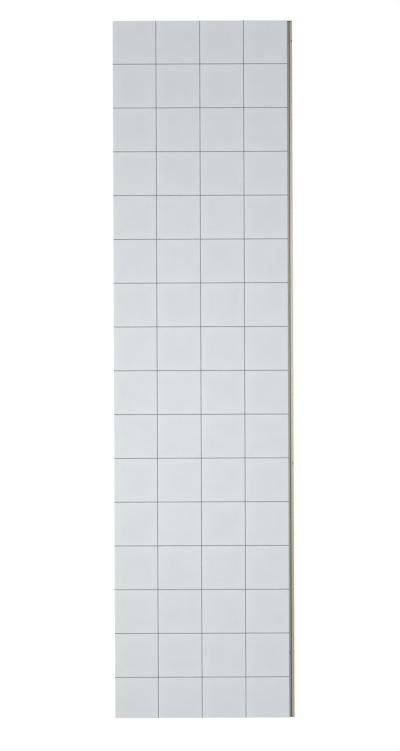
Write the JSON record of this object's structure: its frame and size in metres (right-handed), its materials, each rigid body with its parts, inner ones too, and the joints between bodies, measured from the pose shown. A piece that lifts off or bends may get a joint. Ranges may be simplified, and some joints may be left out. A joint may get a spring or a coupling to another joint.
{
  "type": "bathroom wall panel",
  "caption": "Tall flat wall panel with a pale tile-effect laminate face, pressed grout grooves, and a plywood lip along its right edge that laps under the next panel.",
  "frame": {"origin": "middle of the panel's back, on the surface that it lies on", "axes": "+X across the panel towards the lip, +Y along it towards its top end, +Z out of the tile face"},
  "size_m": [0.618, 2.4, 0.011],
  "materials": {
    "plywood": "bare sawn birch plywood",
    "laminate": "satin"
  },
  "bodies": {
    "root": {"plywood_core": "plywood", "decor_laminate": "laminate"}
  },
  "joints": []
}
